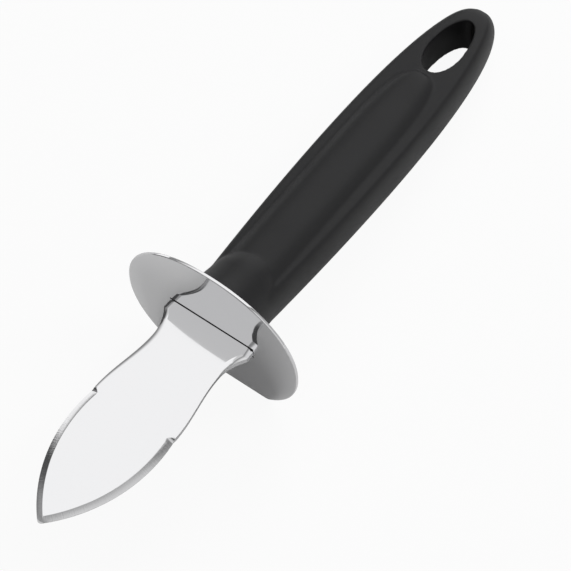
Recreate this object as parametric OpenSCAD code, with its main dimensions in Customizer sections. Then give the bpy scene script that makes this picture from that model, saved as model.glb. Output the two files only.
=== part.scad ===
// Oyster knife: a stubby spear blade, an oval hand guard and a moulded handle.
// Millimetres. +X points along the knife to the tip, +Z is up, square to the blade's face.
// The origin is the middle of the guard's straight lower edge, on which the knife rests.

/* [Blade] */
// Length of the blade, from the front of the guard to the tip
blade_l = 68.6; // [60:0.1:90]
// Width of the blade where it is widest
blade_w = 26.2; // [22:0.1:32]
// Thickness of the blade and its tang
blade_t = 1.8; // [1.4:0.1:2.6]
// Thickness of the blade where it meets the guard
root_t = 3.2; // [2.6:0.1:3.6]
// Distance over which the root thins down to the blade
root_taper = 13; // [12:0.5:20]
// Last stretch of that distance, where the slope eases into the flat face
root_ease = 4.5; // [3:0.5:6]
// Width of the blade where it meets the guard
root_w = 26.2; // [22:0.1:30]
// Length of the straight sides where the blade meets the guard
root_l = 2.6; // [1:0.1:3.5]
// Width of the neck where it is narrowest
neck_w = 20.8; // [16:0.1:21.5]
// Distance from the guard to the narrowest place of the neck
neck_x = 10.5; // [9.5:0.1:14]
// Distance from the guard to the start of the ground edges
ground_x = 31; // [24:0.5:35]
// Distance from the guard to the widest place of the blade
belly_x = 38; // [36:0.5:44]
// Radius of the blunt tip
tip_r = 1; // [0.8:0.1:3]
// Width of the ground bevel along each cutting edge
bevel_w = 1.8; // [0.8:0.05:2]
// Thickness left at the cutting edge
edge_t = 0.2; // [0.1:0.05:0.5]
// How far the ground edge stands inside the side of the neck
ground_step = 0.05; // [0.05:0.05:0.6]
// Width of the bevel along the sides of the neck, where the ground edges start
neck_bevel = 0.65; // [0.1:0.05:0.8]
// Width of the same bevel where it starts, at the guard
root_bevel = 1.75; // [0.8:0.05:1.8]
// Drop of that bevel for each millimetre of its width
bevel_fall = 0.26; // [0.2:0.01:0.5]
// How much lower the bevel's outer edge drops at the guard
root_drop = 0.35; // [0:0.05:0.5]
// Distance from the guard over which that extra drop fades out
root_drop_l = 6; // [3:0.5:9]

/* [Tang] */
// Length of the tang behind the guard
tang_l = 64; // [50:1:74]
// Width of the tang at the guard
tang_w = 15; // [11:0.5:16]
// Width of the tang at its end
tang_end_w = 10; // [8.5:0.5:11]
// Diameter of the anchor holes in the tang
anchor_d = 5; // [3:0.5:6]
// Distance from the guard to the first anchor hole
anchor_x = 26; // [20:1:30]
// Distance between the two anchor holes
anchor_gap = 26; // [10:1:28]

/* [Guard] */
// Width of the guard
guard_w = 53; // [46:0.2:64]
// Height of the whole oval before its lower edge is cut straight
guard_h = 45.9; // [43:0.1:60]
// How far the middle of the oval lies below the knife's axis
guard_low = 0.4; // [0:0.1:1.5]
// Fullness of the oval's shoulders: 2 is an ellipse, more is squarer
guard_full = 2.15; // [2:0.05:2.5]
// Thickness of the guard
guard_t = 0.9; // [0.8:0.05:2]
// Distance from the knife's axis down to the straight lower edge
guard_drop = 18.6; // [17:0.1:21]
// Radius of the two corners of the straight lower edge
corner_r = 2; // [1:0.25:4]
// Bevel around the rim of the guard
rim_bevel = 0.2; // [0.1:0.05:0.3]

/* [Handle] */
// Length of the handle, behind the guard
handle_l = 120.4; // [112:0.2:135]
// Width of the handle where it is widest
handle_w = 23; // [21:0.1:28]
// Distance from the handle's front to its widest place
swell_x = 61; // [50:0.5:66]
// Width of the handle's winged body at its front
front_w = 18.4; // [17:0.1:20.5]
// Thickness between the two flat faces
handle_t = 12.6; // [11:0.1:14]
// How far the rounded side bulges past the edge of the flat face
side_bulge = 1.7; // [1:0.1:3]
// Taper of the outline towards the tail: more keeps it wide for longer
tail_taper = 2.35; // [1.8:0.05:2.6]
// Bluntness of the tail's end: 2 is an ellipse, more is squarer
tail_blunt = 2.8; // [2:0.05:3.4]

/* [Collar] */
// Height of the collar against the guard
collar_d = 25.2; // [23:0.1:27]
// Width of the collar as a share of its height
collar_narrow = 0.88; // [0.84:0.01:1]
// Height at the collar's rear end, sunk in the grip pads
collar_end_d = 16.7; // [15:0.1:18]
// Length of the collar
collar_l = 19.4; // [17:0.1:24]
// How much its radius falls for each millimetre of its length
collar_taper = 0.1; // [0.02:0.01:0.18]
// Distance from the guard to the place where the collar begins to round over
dome_x = 12; // [9:0.5:14]
// How far the collar flares out where it meets the guard
collar_flare = 1.7; // [0.5:0.1:2]
// Length of the flare
flare_l = 12; // [8:0.5:14]

/* [Grip pads] */
// Width of the raised pad on each face
pad_w = 14.8; // [11:0.1:15.5]
// Height of the pad's crown above the flat face, at its front
pad_h = 2.8; // [1.2:0.1:3]
// Height of the pad's crown where its rear end begins to round off
pad_end_h = 2.2; // [1:0.1:2.6]
// Distance from the handle's front to the place where the pad begins to narrow
pad_taper_x = 61; // [50:0.5:68]
// Distance from the handle's front to the rear end of the pad
pad_end_x = 91.6; // [80:0.2:92.4]

/* [Hanging hole] */
// Length of the egg-shaped hole
hole_l = 20.4; // [14:0.2:22]
// Width of the hole
hole_w = 9.8; // [6:0.1:11]
// Distance from the rear end of the hole to the tail of the handle
hole_wall = 7; // [6.5:0.1:9]
// Share of the hole's length that lies in front of its widest place
hole_egg = 0.41; // [0.35:0.01:0.6]

/* [Fits] */
// Gap around the tang in the guard's slot
slot_gap = 0.15; // [0.05:0.05:0.4]
// Gap around the tang in the handle
tang_gap = 0.05; // [0.02:0.01:0.2]
// Gap between the blade's shoulders and the guard
shoulder_gap = 0.15; // [0.02:0.01:0.3]

/* [Hidden] */

steel = "#d9d9d9";
black = "#232324";

axis_z = guard_drop;                  // height of the knife's axis
front_x = guard_t / 2;                // front face of the guard
back_x = -guard_t / 2;                // back face of the guard
root_x = front_x + shoulder_gap;      // where the blade starts
handle_x = back_x;                    // where the handle starts

curve_steps = 14;                     // points on each curve of an outline
oval_steps = 96;                      // points around the guard
skin = 0.02;                          // thickness of the slabs that a hull joins

// The leaf of the blade is one large arc each side, closed by the small arc of the tip.
tip_x = front_x + blade_l - tip_r;
leaf_run = tip_x - front_x - belly_x;
leaf_r = (leaf_run * leaf_run + pow(blade_w / 2, 2) - tip_r * tip_r) / (blade_w - 2 * tip_r);
leaf_end = atan2(leaf_run, leaf_r - blade_w / 2);
leaf_start = asin((ground_x - belly_x) / leaf_r);
ground_half = leaf_r * cos(leaf_start) - leaf_r + blade_w / 2;
flare_r = (pow(neck_x - root_l, 2) + pow((root_w - neck_w) / 2, 2)) / (root_w - neck_w);

function leaf_point(a) = [front_x + belly_x + leaf_r * sin(a), blade_w / 2 - leaf_r + leaf_r * cos(a)];
function tip_point(a) = [tip_x + tip_r * sin(a), tip_r * cos(a)];

// One side of the leaf, from the start of the ground edge to the point.
leaf_side = concat(
    [for (i = [0 : curve_steps]) leaf_point(leaf_start + (leaf_end - leaf_start) * i / curve_steps)],
    [for (i = [1 : 5]) tip_point(leaf_end + (90 - leaf_end) * i / 5)]
);

// Half the width of the neck at a distance from the guard: a straight root, a hollow
// flare down to the narrowest place, then a slow swell up to the ground edges.
function neck_half(x) =
    x <= root_l ? root_w / 2 :
    x <= neck_x ? neck_w / 2 + flare_r - sqrt(pow(flare_r, 2) - pow(neck_x - x, 2)) :
    neck_w / 2 + (ground_half + ground_step - neck_w / 2)
        * (1 - cos(180 * (x - neck_x) / (ground_x - neck_x))) / 2;

neck_stops = concat(
    [0, root_l / 2],
    [for (i = [0 : curve_steps]) root_l + (neck_x - root_l) * i / curve_steps],
    [for (i = [1 : curve_steps]) neck_x + (ground_x - neck_x) * i / curve_steps]
);

// Mirrors one side of an outline across the knife's axis and closes it.
function both_sides(side) = concat(
    side,
    [for (i = [len(side) - 1 : -1 : 0]) if (side[i][1] > 0.001) [side[i][0], -side[i][1]]]
);

// Share of the root's extra thickness that is left at a distance from the guard.
function root_share(x) =
    x >= root_taper ? 0 :
    (x > root_taper - root_ease
        ? pow(root_taper - x, 2) / (2 * root_ease)
        : root_taper - x - root_ease / 2) / (root_taper - root_ease / 2);

// Cross-section of the neck: a flat bar with its four long edges taken off.
function neck_ring(x) =
    let (
        w = neck_half(x),
        h = (blade_t + (root_t - blade_t) * root_share(x)) / 2,
        c = root_bevel + (neck_bevel - root_bevel) * x / ground_x,
        low = h - c * bevel_fall - root_drop * max(1 - x / root_drop_l, 0)
    )
    [[w - c, h], [-w + c, h], [-w, low], [-w, -low],
     [-w + c, -h], [w - c, -h], [w, -low], [w, low]];

// Solid between matching cross-sections that stand along X.
module loft(stops, rings) {
    n = len(rings[0]);
    last = len(stops) - 1;
    polyhedron(
        points = [for (i = [0 : last]) for (p = rings[i]) [stops[i], p[0], p[1]]],
        faces = concat(
            [[for (j = [0 : n - 1]) j]],
            [for (i = [0 : last - 1]) for (j = [0 : n - 1])
                [i * n + j, (i + 1) * n + j, (i + 1) * n + (j + 1) % n, i * n + (j + 1) % n]],
            [[for (j = [n - 1 : -1 : 0]) last * n + j]]
        )
    );
}

module neck() {
    translate([root_x, 0, axis_z])
        loft([for (x = neck_stops) x * (front_x + ground_x - root_x) / ground_x],
             [for (x = neck_stops) neck_ring(x)]);
}

// Flat middle of the leaf, sloping down on both faces to the cutting edge.
module leaf() {
    translate([0, 0, axis_z])
        hull() {
            linear_extrude(height = edge_t, center = true)
                polygon(both_sides(leaf_side));
            linear_extrude(height = blade_t, center = true)
                intersection() {
                    offset(delta = -bevel_w) polygon(both_sides(leaf_side));
                    translate([front_x + ground_x + skin, -blade_w]) square([blade_l, 2 * blade_w]);
                }
            translate([front_x + ground_x, 0, 0])
                cube([skin, 2 * (ground_half - bevel_w), blade_t], center = true);
        }
}

// Outline of the tang, from inside the blade's root to its end, grown by a gap.
module tang_outline(gap) {
    polygon([
        [root_x + root_l / 2, tang_w / 2 + gap],
        [back_x, tang_w / 2 + gap],
        [back_x - tang_l - gap, tang_end_w / 2 + gap],
        [back_x - tang_l - gap, -tang_end_w / 2 - gap],
        [back_x, -tang_w / 2 - gap],
        [root_x + root_l / 2, -tang_w / 2 - gap]
    ]);
}

// Pins or holes on the tang's centre line.
module anchors(d, h) {
    for (i = [0 : 1])
        translate([back_x - anchor_x - i * anchor_gap, 0, axis_z])
            cylinder(d = d, h = h, center = true, $fn = 48);
}

module blade() {
    color(steel)
        difference() {
            union() {
                neck();
                leaf();
                translate([0, 0, axis_z])
                    linear_extrude(height = blade_t, center = true) tang_outline(0);
            }
            anchors(anchor_d, blade_t + 2);
        }
}

// Oval of the guard with its straight lower edge and rounded corners, standing in Y and Z.
function fuller(c) = sign(c) * pow(abs(c), 2 / guard_full);

module guard_outline(inset) {
    offset(delta = -inset)
        offset(r = corner_r, $fn = 32)
            offset(delta = -corner_r)
                intersection() {
                    polygon([for (i = [0 : oval_steps - 1])
                        [guard_w / 2 * fuller(cos(360 * i / oval_steps)),
                         axis_z - guard_low + guard_h / 2 * fuller(sin(360 * i / oval_steps))]]);
                    translate([-guard_w, 0]) square([2 * guard_w, 2 * guard_h]);
                }
}

module guard() {
    color(steel)
        difference() {
            rotate([90, 0, 90])
                hull() {
                    linear_extrude(height = guard_t - 2 * rim_bevel, center = true) guard_outline(0);
                    linear_extrude(height = guard_t, center = true) guard_outline(rim_bevel);
                }
            translate([0, 0, axis_z])
                cube([guard_t + 2, tang_w + 2 * slot_gap, blade_t + 2 * slot_gap], center = true);
        }
}

// Half the width of the handle's body at a distance behind the guard.
tail_run = handle_l - swell_x;

function blunt_end(u, taper, blunt) = pow(max(1 - pow(u, taper), 0), 1 / blunt);

function body_half(d) =
    d <= swell_x
        ? handle_w / 2 - (handle_w - front_w) / 2 * pow(1 - d / swell_x, 1.8)
        : handle_w / 2 * blunt_end((d - swell_x) / tail_run, tail_taper, tail_blunt);

// Half its thickness: constant, then rounded down over the last stretch of the tail.
tail_round = handle_t * 0.75;
function body_thick(d) =
    handle_t / 2 * (d <= handle_l - tail_round ? 1
        : blunt_end((d - handle_l + tail_round) / tail_round, 3, 3));

// Cross-section of the body: two flat faces joined by elliptical sides.
side_steps = 5;
function body_quarter(d) =
    let (w = body_half(d), h = body_thick(d), e = min(side_bulge + (handle_w / 2 - w) / 4, 0.8 * w))
    [for (i = [0 : side_steps]) [w - e + e * cos(90 * i / side_steps), h * sin(90 * i / side_steps)]];

function body_ring(d) =
    let (q = body_quarter(d), n = side_steps)
    concat(
        [for (i = [0 : n]) q[i]],
        [for (i = [n : -1 : 0]) [-q[i][0], q[i][1]]],
        [for (i = [1 : n]) [-q[i][0], -q[i][1]]],
        [for (i = [n : -1 : 1]) [q[i][0], -q[i][1]]]
    );

tail_steps = 14;
body_stops = concat(
    [for (i = [0 : 8]) swell_x * i / 8],
    [for (i = [1 : tail_steps]) swell_x + tail_run * min(sin(90 * i / tail_steps), 0.998)]
);

module body() {
    translate([handle_x, 0, axis_z])
        mirror([1, 0, 0])
            loft(body_stops, [for (d = body_stops) body_ring(d)]);
}

// The collar is an oval dome with a flared foot; the winged body and the pads grow out of it.
dome_drop = (collar_d - collar_end_d) / 2 - collar_taper * collar_l;

function collar_radius(d) =
    collar_d / 2 - collar_taper * d
        - dome_drop * pow(max(d - dome_x, 0) / (collar_l - dome_x), 2)
        + collar_flare * pow(max(1 - d / flare_l, 0), 2);

collar_steps = 60;
function collar_ring(d) =
    [for (i = [0 : collar_steps - 1])
        collar_radius(d) * [collar_narrow * cos(360 * i / collar_steps), sin(360 * i / collar_steps)]];

collar_stops = concat(
    [for (i = [0 : 5]) dome_x * i / 6],
    [for (i = [0 : 5]) dome_x + (collar_l - dome_x) * i / 5]
);

module collar() {
    translate([handle_x, 0, axis_z])
        mirror([1, 0, 0])
            loft(collar_stops, [for (d = collar_stops) collar_ring(d)]);
}

// A pad is a flat-topped strip with rounded shoulders; it starts inside the collar and ends bluntly.
pad_start = collar_l * 0.35;
pad_sunk = 1;                         // depth of the pad's foot inside the body
pad_run = pad_end_x - pad_taper_x;

function pad_half(d) =
    pad_w / 2 * (d <= pad_taper_x ? 1 : blunt_end((d - pad_taper_x) / pad_run, 3, 3));
function pad_rise(d) =
    d <= pad_taper_x
        ? pad_h - (pad_h - pad_end_h) * (d - pad_start) / (pad_taper_x - pad_start)
        : pad_end_h * blunt_end((d - pad_taper_x) / pad_run, 10, 2);

pad_steps = 12;
function pad_ring(d) =
    let (w = pad_half(d), h = pad_rise(d), foot = handle_t / 2)
    concat(
        [for (i = [0 : pad_steps])
            let (t = cos(180 * i / pad_steps))
            [w * t, foot + h * (1 - pow(abs(t), 3))]],
        [[-w, foot - pad_sunk], [w, foot - pad_sunk]]
    );

pad_stops = concat(
    [for (i = [0 : 5]) pad_start + (pad_taper_x - pad_start) * i / 5],
    [for (i = [1 : 12]) pad_taper_x + pad_run * min(sin(90 * i / 12), 0.996)]
);

module pad() {
    translate([handle_x, 0, 0])
        mirror([1, 0, 0])
            loft(pad_stops, [for (d = pad_stops) pad_ring(d)]);
}

// Egg-shaped hanging hole, blunter towards the guard, straight through the handle.
module hanging_hole() {
    nose = hole_l * hole_egg;
    translate([handle_x - handle_l + hole_wall + hole_l - nose, 0, axis_z])
        linear_extrude(height = 3 * handle_t, center = true)
            polygon([for (i = [0 : 71])
                [cos(5 * i) * (cos(5 * i) > 0 ? nose : hole_l - nose), hole_w / 2 * sin(5 * i)]]);
}

module handle() {
    color(black)
        difference() {
            union() {
                body();
                collar();
                for (s = [0, 1])
                    translate([0, 0, axis_z]) mirror([0, 0, s]) pad();
            }
            hanging_hole();
            difference() {
                translate([0, 0, axis_z])
                    linear_extrude(height = blade_t + 2 * tang_gap, center = true)
                        tang_outline(tang_gap);
                anchors(anchor_d - 2 * tang_gap, blade_t + 2);
            }
        }
}

blade();
guard();
handle();
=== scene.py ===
import bpy
import bmesh
import math
from mathutils import Matrix, Vector


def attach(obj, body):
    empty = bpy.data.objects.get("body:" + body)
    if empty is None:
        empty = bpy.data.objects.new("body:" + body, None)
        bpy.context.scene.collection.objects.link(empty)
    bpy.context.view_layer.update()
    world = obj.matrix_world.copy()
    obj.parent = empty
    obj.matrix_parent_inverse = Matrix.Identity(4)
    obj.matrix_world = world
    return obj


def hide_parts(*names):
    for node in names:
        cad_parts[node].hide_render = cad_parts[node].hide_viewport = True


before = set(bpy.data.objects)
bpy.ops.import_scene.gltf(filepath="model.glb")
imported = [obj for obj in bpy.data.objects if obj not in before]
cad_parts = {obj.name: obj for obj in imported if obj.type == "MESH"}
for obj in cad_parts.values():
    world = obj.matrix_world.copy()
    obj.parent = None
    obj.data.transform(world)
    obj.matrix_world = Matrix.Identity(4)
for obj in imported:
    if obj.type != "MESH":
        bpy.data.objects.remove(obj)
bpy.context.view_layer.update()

MM = 0.001

# Camera: place, look direction, roll in degrees and lens of the photograph's viewpoint.
CAMERA_PLACE = Vector((281.64, 240.0, 615.06)) * MM
CAMERA_LOOK = Vector((-0.42686, -0.32836, -0.84259))
CAMERA_ROLL = -1.160
CAMERA_LENS = 175.92
CAMERA_SENSOR = 36.0

# Sizes of the knife in millimetres. d is a distance from the guard, forwards along the blade
# or backwards along the handle, and x a place along the knife's axis.
AXIS_Z = 18.6
FRONT_X = 0.45
BACK_X = -0.45
BLADE_L = 68.6
BLADE_W = 26.2
BLADE_T = 1.8
ROOT_T = 3.2
ROOT_TAPER = 13.0
ROOT_EASE = 4.5
ROOT_W = 26.2
ROOT_L = 2.6
NECK_W = 20.8
NECK_X = 10.5
GROUND_X = 31.0
BELLY_X = 38.0
TIP_R = 1.0
BEVEL_W = 1.8
EDGE_T = 0.2
GROUND_STEP = 0.05
NECK_BEVEL = 0.65
ROOT_BEVEL = 1.75
BEVEL_FALL = 0.26
ROOT_DROP = 0.35
ROOT_DROP_L = 6.0
SHOULDER_GAP = 0.15
TANG_L = 64.0
TANG_W = 15.0
TANG_END_W = 10.0
GUARD_W = 53.0
GUARD_H = 45.9
GUARD_LOW = 0.4
GUARD_FULL = 2.15
GUARD_T = 0.9
CORNER_R = 2.0
HANDLE_L = 120.4
HANDLE_W = 23.0
SWELL_X = 61.0
FRONT_W = 18.4
HANDLE_T = 12.6
SIDE_BULGE = 1.7
TAIL_TAPER = 2.35
TAIL_BLUNT = 2.8
COLLAR_D = 25.2
COLLAR_NARROW = 0.88
COLLAR_END_D = 16.7
COLLAR_L = 19.4
COLLAR_TAPER = 0.1
DOME_X = 12.0
COLLAR_FLARE = 1.7
FLARE_L = 12.0
PAD_W = 14.8
PAD_H = 2.8
PAD_END_H = 2.2
PAD_TAPER_X = 61.0
PAD_END_X = 91.6
HOLE_L = 20.4
HOLE_W = 9.8
HOLE_WALL = 7.0
HOLE_EGG = 0.41
RIM_SPREAD = 0.15


# Camera

camera_data = bpy.data.cameras.new("camera")
camera_data.lens = CAMERA_LENS
camera_data.sensor_width = CAMERA_SENSOR
camera_data.clip_start = 0.01
camera_data.clip_end = 20
camera = bpy.data.objects.new("camera", camera_data)
bpy.context.scene.collection.objects.link(camera)
camera.location = CAMERA_PLACE
camera.rotation_mode = "QUATERNION"
roll = Matrix.Rotation(math.radians(CAMERA_ROLL), 3, "Z")
turn = CAMERA_LOOK.to_track_quat("-Z", "Y").to_matrix() @ roll
camera.rotation_quaternion = turn.to_quaternion()
bpy.context.scene.camera = camera
bpy.context.scene.view_settings.view_transform = "Standard"


# Mesh helpers

START_RADIUS = 0.01                   # of the circle that every tube is started from
TINY = 1e-6


def deselect():
    bpy.ops.object.select_all(action="DESELECT")


def only(piece):
    deselect()
    piece.select_set(True)
    bpy.context.view_layer.objects.active = piece


def extruded_rings(name, stations, ring_at, count):
    """A closed tube: one circle primitive, extruded station by station and shaped to each section."""
    deselect()
    bpy.ops.mesh.primitive_circle_add(vertices=count, radius=START_RADIUS)
    piece = bpy.context.object
    piece.name = name
    bpy.ops.object.mode_set(mode="EDIT")
    mesh = bmesh.from_edit_mesh(piece.data)
    order = mesh.verts.layers.int.new("order")
    for number, vert in enumerate(mesh.verts):
        vert[order] = number
    bmesh.update_edit_mesh(piece.data)

    def shape(station):
        section = ring_at(station)
        edit = bmesh.from_edit_mesh(piece.data)
        layer = edit.verts.layers.int["order"]
        for vert in edit.verts:
            if vert.select:
                vert.co = Vector(section[vert[layer]]) * MM
        bmesh.update_edit_mesh(piece.data)

    shape(stations[0])
    bpy.ops.mesh.edge_face_add()
    for station in stations[1:]:
        bpy.ops.mesh.extrude_region_move()
        shape(station)
    bpy.ops.mesh.select_all(action="SELECT")
    bpy.ops.mesh.normals_make_consistent(inside=False)
    bpy.ops.object.mode_set(mode="OBJECT")
    piece.data.attributes.remove(piece.data.attributes["order"])
    return piece


def settle(piece):
    """The piece's place goes into its mesh, and its object stays at the origin."""
    only(piece)
    bpy.ops.object.transform_apply(location=True, rotation=True, scale=True)


def add_modifier(piece, kind, **values):
    only(piece)
    modifier = piece.modifiers.new(kind.lower(), kind)
    for key, value in values.items():
        setattr(modifier, key, value)
    bpy.ops.object.modifier_apply(modifier=modifier.name)


# Blade

LEAF_TIP_X = FRONT_X + BLADE_L - TIP_R
LEAF_RUN = LEAF_TIP_X - FRONT_X - BELLY_X
LEAF_R = (LEAF_RUN ** 2 + (BLADE_W / 2) ** 2 - TIP_R ** 2) / (BLADE_W - 2 * TIP_R)
LEAF_X = FRONT_X + BELLY_X
LEAF_Y = LEAF_R - BLADE_W / 2
LEAF_END = math.atan2(LEAF_RUN, LEAF_Y)
FLARE_R = ((NECK_X - ROOT_L) ** 2 + ((ROOT_W - NECK_W) / 2) ** 2) / (ROOT_W - NECK_W)
# the ground edge: its width and slope at the tip, its slight crown, the rounded lip where it
# leaves the face, and the short scoop with which it starts
TIP_BEVEL_W = 1.4
TIP_SLOPE = (BLADE_T - EDGE_T) / 2 / TIP_BEVEL_W
BEVEL_CROWN = 0.02
LIP = 0.08
LIP_SHARE = 0.2
LIP_SLOPE = 0.25
RUN_OUT = 1.3
RUN_OUT_CURVE = 1.5
# points of a section: the neck's bevel, the leaf's bevel and the point of the tip, as shares of
# the way out to the edge, and a point close inside each ridge that keeps the face flat
NECK_SHARES = [i / 6 for i in range(7)]
LEAF_SHARES = (0, 0.05, 0.25, 0.5, 0.75, 1)
TIP_SHARES = (0, 0.05, 0.1, 0.18, 0.3, 0.45, 0.62, 0.8, 1)
TIP_LEAST = 0.02
TIP_FALL = 0.9
FACE_GUARD = 0.1
QUARTER_POINTS = len(TIP_SHARES)
BLADE_RING = 2 * (2 * QUARTER_POINTS - 1)


def arc_half(x, inset=0.0):
    """Half the leaf's width at x, drawn in by an inset."""
    radius = LEAF_R - inset
    return math.sqrt(max(radius ** 2 - (x - LEAF_X) ** 2, 0)) - LEAF_Y


def bevel_width(x):
    """Width of the ground edge, a little less towards the tip."""
    return BEVEL_W - (BEVEL_W - TIP_BEVEL_W) * max((x - LEAF_X) / LEAF_RUN, 0.0) ** 2


def leaf_half(x):
    """Half the leaf's width: one large arc, closed by the small arc of the tip."""
    if x <= FRONT_X + BELLY_X + LEAF_R * math.sin(LEAF_END):
        return arc_half(x)
    return math.sqrt(max(TIP_R ** 2 - (x - LEAF_TIP_X) ** 2, 0))


GROUND_HALF = arc_half(FRONT_X + GROUND_X)


def neck_half(d):
    """Half the neck's width: a straight root, a hollow flare, then a slow swell to the leaf."""
    if d <= ROOT_L:
        return ROOT_W / 2
    if d <= NECK_X:
        return NECK_W / 2 + FLARE_R - math.sqrt(FLARE_R ** 2 - (NECK_X - d) ** 2)
    swell = (1 - math.cos(math.pi * (d - NECK_X) / (GROUND_X - NECK_X))) / 2
    return NECK_W / 2 + (GROUND_HALF + GROUND_STEP - NECK_W / 2) * swell


def root_share(d):
    """Share of the root's extra thickness that is left at d."""
    left = max(ROOT_TAPER - d, 0.0)
    fall = left ** 2 / (2 * ROOT_EASE) if left < ROOT_EASE else left - ROOT_EASE / 2
    return fall / (ROOT_TAPER - ROOT_EASE / 2)


def rounded_fall(t):
    """Share of the neck bevel's drop at a share of its width: nearly flat where it leaves the face."""
    return 0.4 * t + 0.6 * t * t


def quarter_section(d):
    """Upper right quarter of the blade's section at d from the guard, from the middle to the edge."""
    x = FRONT_X + d
    if d <= GROUND_X:
        half = neck_half(d)
        thick = (BLADE_T + (ROOT_T - BLADE_T) * root_share(d)) / 2
        bevel = ROOT_BEVEL + (NECK_BEVEL - ROOT_BEVEL) * d / GROUND_X
        inner = half - bevel
        drop = bevel * BEVEL_FALL + ROOT_DROP * max(1 - d / ROOT_DROP_L, 0)
        fall = [(inner + bevel * t, thick - drop * rounded_fall(t)) for t in NECK_SHARES]
        return [(0.0, thick), (inner - FACE_GUARD, thick)] + fall
    half = leaf_half(x)
    thick = BLADE_T / 2
    run = (d - GROUND_X) / RUN_OUT
    if run < 1:
        scoop = 1 - (1 - run) ** RUN_OUT_CURVE
        width = max(NECK_BEVEL, BEVEL_W * scoop)
        drop = max(NECK_BEVEL * BEVEL_FALL, (BLADE_T - EDGE_T) / 2 * scoop)
        inner = half - width
        plane = [(inner + width * t, thick - drop * t) for t in NECK_SHARES]
        return [(0.0, thick), (inner - FACE_GUARD, thick)] + plane
    inner = arc_half(x, bevel_width(x))
    if inner > 2 * FACE_GUARD:
        width = half - inner
        lip = min(LIP, width * LIP_SHARE)
        low = thick - lip * LIP_SLOPE
        plane = [(inner + width * t, low + (EDGE_T / 2 - low) * t + BEVEL_CROWN * 4 * t * (1 - t))
                 for t in LEAF_SHARES]
        return [(0.0, thick), (inner - lip - FACE_GUARD, thick), (inner - lip, thick)] + plane
    reach = max(half, TIP_LEAST)
    ridge = min(thick, EDGE_T / 2 + TIP_SLOPE * (FRONT_X + BLADE_L - x) * TIP_FALL)
    return [(reach * t, ridge + (EDGE_T / 2 - ridge) * t) for t in TIP_SHARES]


def blade_ring(d):
    quarter = quarter_section(d)
    x = FRONT_X + d
    upper = [(y, z) for y, z in reversed(quarter)] + [(-y, z) for y, z in quarter[1:]]
    ring = upper + [(y, -z) for y, z in reversed(upper)]
    return [(x, y, AXIS_Z + z) for y, z in ring]


def steps(start, end, count):
    """Evenly spaced places from start to end."""
    return [start + (end - start) * i / count for i in range(count + 1)]


# Sections stand closer together where the shape turns faster: at the run-out and at the tip.
TIP_L = 3.0
TIP_END = 0.004
neck_stations = steps(SHOULDER_GAP, ROOT_L, 6) + steps(ROOT_L, NECK_X, 26)[1:]
neck_stations += steps(NECK_X, GROUND_X, 36)[1:]
run_out_stations = [GROUND_X + RUN_OUT * (1 - (1 - i / 24) ** RUN_OUT_CURVE) for i in range(1, 25)]
leaf_stations = steps(GROUND_X + RUN_OUT, BLADE_L - TIP_L, 70)[1:]
tip_stations = [BLADE_L - TIP_L * (1 - math.sin(math.pi / 2 * i / 16)) for i in range(1, 16)]
tip_stations.append(BLADE_L - TIP_END)
blade_stations = neck_stations + run_out_stations + leaf_stations + tip_stations
blade = extruded_rings("spear_blade", blade_stations, blade_ring, BLADE_RING)
only(blade)
bpy.ops.object.shade_smooth_by_angle(angle=math.radians(6))


# Tang, hidden in the guard and in the handle

def tang_ring(x):
    share = (BACK_X - x) / TANG_L if x < BACK_X else 0
    half = (TANG_W + (TANG_END_W - TANG_W) * share) / 2
    return [(x, half, AXIS_Z + BLADE_T / 2), (x, -half, AXIS_Z + BLADE_T / 2),
            (x, -half, AXIS_Z - BLADE_T / 2), (x, half, AXIS_Z - BLADE_T / 2)]


TANG_SUNK = 1.0                       # how far the tang starts inside the blade's root
tang = extruded_rings("tang", [FRONT_X + TANG_SUNK, BACK_X, BACK_X - TANG_L], tang_ring, 4)


# Guard: a full-shouldered oval cut straight below, its corners rounded, then given its thickness.
# It is drawn flat, with its lower edge towards +X, and then stood up.

CORNER_CUT = CORNER_R * 0.62          # distance from the sharp corner to the start of its rounding
RIM_ROUND = 0.22

deselect()
bpy.ops.mesh.primitive_circle_add(vertices=160, radius=1.0, fill_type="NGON")
guard = bpy.context.object
guard.name = "oval_guard"
bpy.ops.object.mode_set(mode="EDIT")
guard_edit = bmesh.from_edit_mesh(guard.data)
for vert in guard_edit.verts:
    vert.co /= (abs(vert.co.x) ** GUARD_FULL + abs(vert.co.y) ** GUARD_FULL) ** (1 / GUARD_FULL)
bmesh.update_edit_mesh(guard.data)
bpy.ops.mesh.select_all(action="SELECT")
bpy.ops.transform.resize(value=(GUARD_H / 2 * MM, GUARD_W / 2 * MM, 1))
bpy.ops.transform.translate(value=(GUARD_LOW * MM, 0, 0))
bpy.ops.mesh.bisect(plane_co=(AXIS_Z * MM, 0, 0), plane_no=(1, 0, 0), clear_outer=True, use_fill=False)
bpy.ops.mesh.select_all(action="DESELECT")
guard_edit = bmesh.from_edit_mesh(guard.data)
for vert in guard_edit.verts:
    vert.select = abs(vert.co.x - AXIS_Z * MM) < TINY and abs(vert.co.y) > CORNER_R / 2 * MM
guard_edit.select_flush(True)
bmesh.update_edit_mesh(guard.data)
bpy.ops.mesh.bevel(offset=CORNER_CUT * MM, segments=8, affect="VERTICES")
bpy.ops.mesh.select_all(action="SELECT")
bpy.ops.mesh.extrude_region_move(TRANSFORM_OT_translate={"value": (0, 0, GUARD_T * MM)})
bpy.ops.mesh.select_all(action="SELECT")
bpy.ops.mesh.normals_make_consistent(inside=False)
bpy.ops.object.mode_set(mode="OBJECT")
guard.rotation_euler = (0, math.radians(90), 0)
guard.location = (-GUARD_T / 2 * MM, 0, AXIS_Z * MM)
settle(guard)
add_modifier(guard, "BEVEL", width=RIM_ROUND * MM, segments=4,
             limit_method="ANGLE", angle_limit=math.radians(40))
only(guard)
bpy.ops.object.shade_smooth_by_angle(angle=math.radians(25))


# Handle: body, collar and pads blended into one moulding

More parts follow.
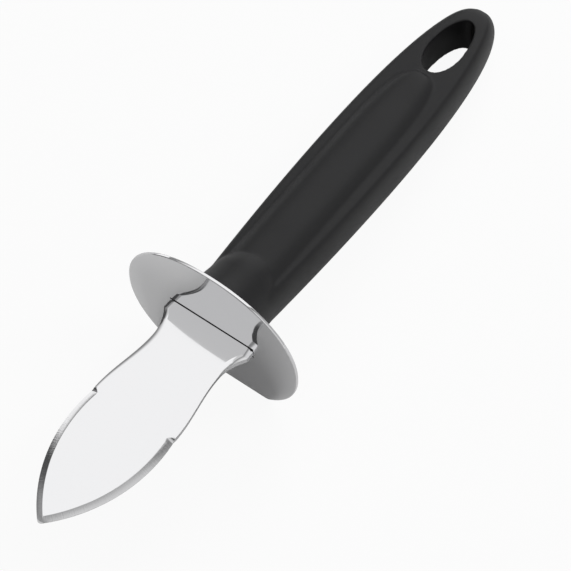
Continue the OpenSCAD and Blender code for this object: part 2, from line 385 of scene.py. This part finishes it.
TAIL_RUN = HANDLE_L - SWELL_X
TAIL_ROUND = HANDLE_T * 0.75
PAD_RUN = PAD_END_X - PAD_TAPER_X
FRONT_CURVE = 1.8                     # how quickly the body's sides swell out behind the collar
SIDE_SHARE = 0.8                      # most that the rounded side takes of the body's half width
PAD_LEAST = 0.05                      # a pad narrower than this has ended
PAD_SUNK = 1.5                        # a pad's curve is followed this far down inside the body
COLLAR_SUNK = 6                       # and the collar this far past its own length
COLLAR_HOLLOW = 0.15                  # hollow between the collar and the rest
PAD_HOLLOW = 0.12                     # hollow along the pad, up to HOLLOW_X from the guard
HOLLOW_X = 20
HOLLOW_GROWTH = 0.5 / 70              # how much it opens for each millimetre behind that
RING_COUNT = 144


def blunt_end(u, taper, blunt):
    """Share of the full width that is left at a share u of a rounded end."""
    return max(1 - max(u, 0.0) ** taper, 0.0) ** (1 / blunt)


def body_half(d):
    if d <= SWELL_X:
        return HANDLE_W / 2 - (HANDLE_W - FRONT_W) / 2 * (1 - d / SWELL_X) ** FRONT_CURVE
    return HANDLE_W / 2 * blunt_end((d - SWELL_X) / TAIL_RUN, TAIL_TAPER, TAIL_BLUNT)


def body_thick(d):
    if d <= HANDLE_L - TAIL_ROUND:
        return HANDLE_T / 2
    return HANDLE_T / 2 * blunt_end((d - HANDLE_L + TAIL_ROUND) / TAIL_ROUND, 3, 3)


def body_reach(d, c, s):
    """Distance from the axis to the body's skin in the direction (c, s)."""
    w, h = body_half(d), body_thick(d)
    e = min(SIDE_BULGE + (HANDLE_W / 2 - w) / 4, SIDE_SHARE * w)
    p = w - e
    if s > TINY and h * c / s <= p:
        return h / s
    qa = (c / e) ** 2 + (s / h) ** 2
    qb = c * p / e ** 2
    qc = (p / e) ** 2 - 1
    return (qb + math.sqrt(max(qb * qb - qa * qc, 0))) / qa


def pad_reach(d, c, s):
    """Distance from the axis to the pad's skin, or 0 where the pad lies inside the body."""
    if d >= PAD_END_X or s <= TINY:
        return 0.0
    if d <= PAD_TAPER_X:
        half = PAD_W / 2
        rise = PAD_H - (PAD_H - PAD_END_H) * d / PAD_TAPER_X
    else:
        u = (d - PAD_TAPER_X) / PAD_RUN
        half = PAD_W / 2 * blunt_end(u, 3, 3)
        rise = PAD_END_H * blunt_end(u, 10, 2)
    if half < PAD_LEAST:
        return 0.0
    top = HANDLE_T / 2 + rise
    steep = rise * (c / half) ** 3
    reach = top / s
    for _ in range(12):
        reach -= (reach * s + steep * reach ** 3 - top) / (s + 3 * steep * reach ** 2)
    return reach if reach * s > HANDLE_T / 2 - PAD_SUNK else 0.0


def collar_reach(d, c, s):
    """Reach of the collar, an oval dome with a flared foot."""
    drop = (COLLAR_D - COLLAR_END_D) / 2 - COLLAR_TAPER * COLLAR_L
    radius = COLLAR_D / 2 - COLLAR_TAPER * d - drop * (max(d - DOME_X, 0) / (COLLAR_L - DOME_X)) ** 2
    radius += COLLAR_FLARE * max(1 - d / FLARE_L, 0) ** 2
    return max(radius, 0.0) / math.hypot(c / COLLAR_NARROW, s)


def blend_max(a, b, soft):
    """The larger of two reaches, with a hollow of about soft where they meet."""
    return max(a, b) + max(soft - abs(a - b), 0.0) ** 2 / (4 * soft)


def pad_hollow(d):
    return PAD_HOLLOW + HOLLOW_GROWTH * max(d - HOLLOW_X, 0)


def handle_ring(d):
    ring = []
    for i in range(RING_COUNT):
        angle = 2 * math.pi * i / RING_COUNT
        c, s = abs(math.cos(angle)), abs(math.sin(angle))
        reach = blend_max(body_reach(d, c, s), pad_reach(d, c, s), pad_hollow(d))
        if d < COLLAR_L + COLLAR_SUNK:
            reach = blend_max(reach, collar_reach(d, c, s), COLLAR_HOLLOW)
        ring.append((BACK_X - d, reach * math.cos(angle), AXIS_Z + reach * math.sin(angle)))
    return ring


CLOSE_X = 28                          # sections stand closer together up to here
TAIL_END = 0.9976                     # share of the tail at its last section
tail_stations = [SWELL_X + TAIL_RUN * min(math.sin(math.pi / 2 * i / 110), TAIL_END)
                 for i in range(1, 111)]
handle_stations = steps(0, CLOSE_X, 56) + steps(CLOSE_X, SWELL_X, 30)[1:] + tail_stations
handle = extruded_rings("moulded_handle", handle_stations, handle_ring, RING_COUNT)

hole_middle = BACK_X - HANDLE_L + HOLE_WALL + HOLE_L * (1 - HOLE_EGG)
hole_nose = HOLE_L * HOLE_EGG
hole_tail = HOLE_L - hole_nose
HOLE_RING = 96
HOLE_REACH = 20                       # how far its cutter stands out above and below the axis
SKIN_GRAIN = 0.36                     # width of the even grid to which the moulding is remade


def egg_ring(z):
    """Outline of the egg-shaped hole; its rim spreads a little when the handle is smoothed."""
    ring = []
    for i in range(HOLE_RING):
        angle = 2 * math.pi * i / HOLE_RING
        c, s = math.cos(angle), math.sin(angle)
        reach = (hole_nose if c > 0 else hole_tail) - RIM_SPREAD
        ring.append((hole_middle + c * reach, (HOLE_W / 2 - RIM_SPREAD) * s, z))
    return ring


egg = extruded_rings("hole_cutter", [AXIS_Z - HOLE_REACH, AXIS_Z + HOLE_REACH], egg_ring, HOLE_RING)
add_modifier(handle, "BOOLEAN", operation="DIFFERENCE", object=egg, solver="EXACT")
bpy.data.objects.remove(egg)
add_modifier(handle, "REMESH", mode="VOXEL", voxel_size=SKIN_GRAIN * MM)
add_modifier(handle, "SMOOTH", factor=0.5, iterations=5)
only(handle)
bpy.ops.object.shade_smooth()


# Materials

STEEL_COLOUR = (0.87, 0.87, 0.88)
STEEL_GLOSS = (0.045, 0.085)          # least and most roughness of the smudged polish
GROUND_ROUGH = 0.05                   # added on the ground edges
GRIND_LINES = 3.2                     # lines of grinding for each millimetre along the edge
GRIND_DEPTH = 0.012
# painted shade in the joint between the blade's root and the guard: its near-black colour, its added
# roughness and the sizes of its box
SEAM_SHADE_COLOUR = (0.02, 0.02, 0.02)
SEAM_SHADE_ROUGH = 0.5
SEAM_SHADE_ALONG = 0.08
SEAM_SHADE_UP = 0.35
SEAM_SHADE_SOFT = 0.05
PLASTIC_COLOUR = (0.0065, 0.0065, 0.007)
PLASTIC_SHINE = 0.36
PLASTIC_GLOSS = (0.41, 0.5)
PLASTIC_GRAIN = 2600
GRAIN_DEPTH = 0.04


def new_material(name):
    material = bpy.data.materials.new(name)
    material.use_nodes = True
    nodes = material.node_tree.nodes
    return material, nodes, material.node_tree.links, nodes["Principled BSDF"]


def math_node(nodes, links, operation, first, second=None, third=None):
    node = nodes.new("ShaderNodeMath")
    node.operation = operation
    for slot, value in enumerate((first, second, third)):
        if value is None:
            continue
        if isinstance(value, (int, float)):
            node.inputs[slot].default_value = value
        else:
            links.new(value, node.inputs[slot])
    return node.outputs[0]


def ramp_node(nodes, links, value, low, high, to_low=0.0, to_high=1.0, smooth=True):
    node = nodes.new("ShaderNodeMapRange")
    node.interpolation_type = "SMOOTHSTEP" if smooth else "LINEAR"
    links.new(value, node.inputs["Value"])
    node.inputs["From Min"].default_value = low
    node.inputs["From Max"].default_value = high
    node.inputs["To Min"].default_value = to_low
    node.inputs["To Max"].default_value = to_high
    return node.outputs["Result"]


def new_group(name, inputs, outputs):
    """A shader node group with number inputs and outputs, and a place as its first input."""
    group = bpy.data.node_groups.new(name, "ShaderNodeTree")
    group.interface.new_socket(name="Place", in_out="INPUT", socket_type="NodeSocketVector")
    for socket in inputs:
        group.interface.new_socket(name=socket, in_out="INPUT", socket_type="NodeSocketFloat")
    for socket in outputs:
        group.interface.new_socket(name=socket, in_out="OUTPUT", socket_type="NodeSocketFloat")
    return group, group.nodes.new("NodeGroupInput"), group.nodes.new("NodeGroupOutput")


def use_group(nodes, links, group, place, **values):
    node = nodes.new("ShaderNodeGroup")
    node.node_tree = group
    links.new(place, node.inputs["Place"])
    for key, value in values.items():
        node.inputs[key].default_value = value
    return node.outputs[0]


def smudges_group():
    """Patchy gloss, from wiping and handling: a roughness between Least and Most."""
    group, start, end = new_group("smudges", ["Scale", "Least", "Most"], ["Roughness"])
    noise = group.nodes.new("ShaderNodeTexNoise")
    noise.inputs["Detail"].default_value = 4
    group.links.new(start.outputs["Place"], noise.inputs["Vector"])
    group.links.new(start.outputs["Scale"], noise.inputs["Scale"])
    spread = group.nodes.new("ShaderNodeMapRange")
    spread.interpolation_type = "SMOOTHSTEP"
    spread.inputs["From Min"].default_value = 0.3
    spread.inputs["From Max"].default_value = 0.75
    group.links.new(noise.outputs["Fac"], spread.inputs["Value"])
    group.links.new(start.outputs["Least"], spread.inputs["To Min"])
    group.links.new(start.outputs["Most"], spread.inputs["To Max"])
    group.links.new(spread.outputs["Result"], end.inputs["Roughness"])
    return group


def seam_shade_group():
    """Mask of the painted shade where the root's two faces meet the guard: a thin box round each joint,
    coloured dark in place of the shadow in the gap.
    """
    group, start, end = new_group("root_seam_shade", [], ["Mask"])
    nodes, links = group.nodes, group.links
    split = nodes.new("ShaderNodeSeparateXYZ")
    links.new(start.outputs["Place"], split.inputs[0])
    x, y, z = split.outputs
    seam_shade_x = (FRONT_X + SHOULDER_GAP / 2) * MM
    height = math_node(nodes, links, "ABSOLUTE", math_node(nodes, links, "SUBTRACT", z, AXIS_Z * MM))
    mask = None
    for value, middle, reach in ((x, seam_shade_x, SHOULDER_GAP / 2 + SEAM_SHADE_ALONG),
                                 (y, 0, ROOT_W / 2 + SEAM_SHADE_ALONG),
                                 (height, ROOT_T / 2 * MM, SEAM_SHADE_UP)):
        away = math_node(nodes, links, "ABSOLUTE", math_node(nodes, links, "SUBTRACT", value, middle))
        inside = ramp_node(nodes, links, away, reach * MM, (reach - SEAM_SHADE_SOFT) * MM)
        mask = inside if mask is None else math_node(nodes, links, "MULTIPLY", mask, inside)
    links.new(mask, end.inputs["Mask"])
    return group


def colour_mix(nodes, links, factor, first, second):
    node = nodes.new("ShaderNodeMix")
    node.data_type = "RGBA"
    links.new(factor, node.inputs[0])
    node.inputs[6].default_value = (*first, 1)
    node.inputs[7].default_value = (*second, 1)
    return node.outputs[2]


def polished_steel(name, ground):
    """Bright steel with wiped smudges and painted shade at the root's joint with the guard; the blade's also
    has its grinding lines.
    """
    material, nodes, links, shader = new_material(name)
    shader.inputs["Metallic"].default_value = 1.0
    place = nodes.new("ShaderNodeTexCoord").outputs["Object"]
    # painted shade: the joint's box is coloured near black and made rougher, standing in for the shadow in
    # the gap
    seam_shade = use_group(nodes, links, SEAM_SHADE, place)
    links.new(colour_mix(nodes, links, seam_shade, STEEL_COLOUR, SEAM_SHADE_COLOUR), shader.inputs["Base Color"])
    rough = use_group(nodes, links, SMUDGES, place, Scale=90, Least=STEEL_GLOSS[0], Most=STEEL_GLOSS[1])
    if ground:
        # the mask of the ground edges: below the flat faces and in front of the neck
        split = nodes.new("ShaderNodeSeparateXYZ")
        links.new(place, split.inputs[0])
        x, y, z = split.outputs
        away = math_node(nodes, links, "ABSOLUTE", math_node(nodes, links, "SUBTRACT", z, AXIS_Z * MM))
        low = ramp_node(nodes, links, away, (BLADE_T / 2 - 0.02) * MM, (BLADE_T / 2 - 0.05) * MM)
        fore = ramp_node(nodes, links, x, (FRONT_X + GROUND_X) * MM, (FRONT_X + GROUND_X + 0.05) * MM)
        bevel = math_node(nodes, links, "MULTIPLY", low, fore)
        # the lines run square to the edge, which is an arc round one point on each side
        side = math_node(nodes, links, "ADD", math_node(nodes, links, "ABSOLUTE", y), LEAF_Y * MM)
        along = math_node(nodes, links, "ARCTAN2", math_node(nodes, links, "SUBTRACT", x, LEAF_X * MM), side)
        lines = nodes.new("ShaderNodeTexNoise")
        lines.noise_dimensions = "1D"
        lines.inputs["Scale"].default_value = GRIND_LINES
        lines.inputs["Detail"].default_value = 3
        lines.inputs["Roughness"].default_value = 0.6
        links.new(math_node(nodes, links, "MULTIPLY", along, LEAF_R), lines.inputs["W"])
        bump = nodes.new("ShaderNodeBump")
        bump.inputs["Distance"].default_value = GRIND_DEPTH * MM
        links.new(math_node(nodes, links, "MULTIPLY", lines.outputs["Fac"], bevel), bump.inputs["Height"])
        links.new(bevel, bump.inputs["Strength"])
        links.new(bump.outputs["Normal"], shader.inputs["Normal"])
        rough = math_node(nodes, links, "MULTIPLY_ADD", bevel, GROUND_ROUGH, rough)
    rough = math_node(nodes, links, "MULTIPLY_ADD", seam_shade, SEAM_SHADE_ROUGH, rough)
    links.new(rough, shader.inputs["Roughness"])
    return material


def black_plastic():
    """Matte black moulded plastic: a fine grain and patches worn a little smoother."""
    material, nodes, links, shader = new_material("black_plastic")
    shader.inputs["Base Color"].default_value = (*PLASTIC_COLOUR, 1)
    shader.inputs["Specular IOR Level"].default_value = PLASTIC_SHINE
    place = nodes.new("ShaderNodeTexCoord").outputs["Object"]
    grain = nodes.new("ShaderNodeTexNoise")
    grain.inputs["Scale"].default_value = PLASTIC_GRAIN
    grain.inputs["Detail"].default_value = 2
    links.new(place, grain.inputs["Vector"])
    bump = nodes.new("ShaderNodeBump")
    bump.inputs["Strength"].default_value = 0.25
    bump.inputs["Distance"].default_value = GRAIN_DEPTH * MM
    links.new(grain.outputs["Fac"], bump.inputs["Height"])
    links.new(bump.outputs["Normal"], shader.inputs["Normal"])
    rough = use_group(nodes, links, SMUDGES, place, Scale=60, Least=PLASTIC_GLOSS[0], Most=PLASTIC_GLOSS[1])
    links.new(rough, shader.inputs["Roughness"])
    return material


SMUDGES = smudges_group()
SEAM_SHADE = seam_shade_group()
BLADE_STEEL = polished_steel("blade_steel", True)
GUARD_STEEL = polished_steel("guard_steel", False)
PLASTIC = black_plastic()

for piece, material in ((blade, BLADE_STEEL), (tang, BLADE_STEEL),
                        (guard, GUARD_STEEL), (handle, PLASTIC)):
    piece.data.materials.clear()
    piece.data.materials.append(material)
    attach(piece, "root")

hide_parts("blade")
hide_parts("blade")
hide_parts("guard")
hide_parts("handle")


# Floor: the plane on which the knife lies, through the guard's straight edge and the tail

FLOOR_TILT = 6.2
FLOOR_GAP = 0.1
FLOOR_GREY = 0.42
FLOOR_SEEN = 0.93
FLOOR_MIRRORED = 0.08
deselect()
bpy.ops.mesh.primitive_plane_add(size=4.0, location=(BACK_X * MM, 0, -FLOOR_GAP * MM),
                                 rotation=(0, math.radians(FLOOR_TILT), 0))
floor = bpy.context.object
floor.name = "floor"
settle(floor)
floor_material, nodes, links, shader = new_material("white_paper")
shader.inputs["Base Color"].default_value = (FLOOR_GREY, FLOOR_GREY, FLOOR_GREY, 1)
shader.inputs["Roughness"].default_value = 0.9
shader.inputs["Specular IOR Level"].default_value = 0.2
emission = nodes.new("ShaderNodeEmission")
emission.inputs["Strength"].default_value = 1.0
path = nodes.new("ShaderNodeLightPath")
mix = nodes.new("ShaderNodeMixShader")
# white to the eye, and faintly so in the steel
glow = math_node(nodes, links, "MULTIPLY", path.outputs["Is Glossy Ray"], FLOOR_MIRRORED)
glow = math_node(nodes, links, "MULTIPLY_ADD", path.outputs["Is Transmission Ray"], FLOOR_SEEN, glow)
glow = math_node(nodes, links, "MULTIPLY_ADD", path.outputs["Is Camera Ray"], FLOOR_SEEN, glow)
links.new(glow, mix.inputs[0])
links.new(shader.outputs[0], mix.inputs[1])
links.new(emission.outputs[0], mix.inputs[2])
links.new(mix.outputs[0], nodes["Material Output"].inputs["Surface"])
floor.data.materials.append(floor_material)


# Studio: what the steel and the plastic mirror. x, y and z are the parts of a direction, and a
# brightness of 1 is white.

FRONT_DIM = 0.07
FRONT_OVERHEAD = 0.55
FRONT_PANEL = 0.25
WALL_GAP = 0.74
RIGHT_BACK = -0.06
RIGHT_MIDDLE = 0.29
RIGHT_FRONT = 0.08
RIGHT_SIDE = 0.5
RIGHT_LEAST = 0.17
FAR_FRONT = 0.2

world = bpy.data.worlds.new("studio")
bpy.context.scene.world = world
world.use_nodes = True
nodes, links = world.node_tree.nodes, world.node_tree.links
background = nodes["Background"]
place = nodes.new("ShaderNodeTexCoord")
split = nodes.new("ShaderNodeSeparateXYZ")
links.new(place.outputs["Generated"], split.inputs[0])
x, y, z = split.outputs


def where(value, low, high, to_low=0.0, to_high=1.0, smooth=True):
    """Goes over from one value to the other as a part of the direction goes from low to high."""
    return ramp_node(nodes, links, value, low, high, to_low, to_high, smooth)


def scaled_sum(first, scale, added):
    return math_node(nodes, links, "MULTIPLY_ADD", first, scale, added)


def product(first, *others):
    for other in others:
        first = math_node(nodes, links, "MULTIPLY", first, other)
    return first


def brightness_mix(factor, first, second):
    node = nodes.new("ShaderNodeMix")
    links.new(factor, node.inputs[0])
    for slot, value in ((2, first), (3, second)):
        if isinstance(value, float):
            node.inputs[slot].default_value = value
        else:
            links.new(value, node.inputs[slot])
    return node.outputs[0]


# left, in front: dim at the horizon and bright overhead, with a low panel of light
front = scaled_sum(where(z, 0.56, 0.69, smooth=False), FRONT_OVERHEAD, FRONT_DIM)
panel = product(where(z, 0.33, 0.42), where(z, 0.75, 0.6), where(y, -0.6, -0.7), where(x, -0.06, 0.07))
front = scaled_sum(panel, FRONT_PANEL, front)

# left, behind: a white wall with a dim gap between its low part and its high part
gap = product(where(scaled_sum(x, -0.5, z), 0.515, 0.545), where(z, 0.8, 0.45), where(y, -0.42, -0.55))
wall = scaled_sum(gap, -WALL_GAP, 1.0)
left = brightness_mix(where(scaled_sum(z, -0.2, x), -0.27, -0.315), front, wall)

# right: dim, lighter overhead and out to the side, dark far in front
right = scaled_sum(where(x, -0.40, -0.28), RIGHT_MIDDLE, RIGHT_BACK)
right = scaled_sum(where(x, -0.02, 0.2), RIGHT_FRONT, right)
right = scaled_sum(where(y, 0.27, 0.52), RIGHT_SIDE, right)
right = math_node(nodes, links, "MAXIMUM", right, RIGHT_LEAST)
right = product(right, where(x, 0.68, 0.5, FAR_FRONT, 1.0))

# the two sides meet along a slanting line, and the eye sees white all round
side = scaled_sum(z, -0.5, scaled_sum(x, 0.3, y))
both = brightness_mix(where(side, -0.215, -0.195), left, right)
path = nodes.new("ShaderNodeLightPath")
seen = brightness_mix(path.outputs["Is Camera Ray"], both, 1.0)
links.new(seen, background.inputs["Color"])
background.inputs["Strength"].default_value = 1.0


def area_light(name, place, aim, size, power):
    data = bpy.data.lights.new(name, "AREA")
    data.size = size
    data.energy = power
    light = bpy.data.objects.new(name, data)
    bpy.context.scene.collection.objects.link(light)
    light.location = place
    light.rotation_mode = "QUATERNION"
    light.rotation_quaternion = (Vector(aim) - Vector(place)).to_track_quat("-Z", "Y")
    light.visible_glossy = False
    return light


# Soft lights for the floor and the shadow; the steel mirrors the studio alone
LIGHT_AIM = (-0.02, 0, 0)
area_light("key", (-0.5, 0.6, 0.95), LIGHT_AIM, 0.5, 7)
area_light("left_key", (-0.9, -0.3, 0.95), LIGHT_AIM, 0.7, 13)
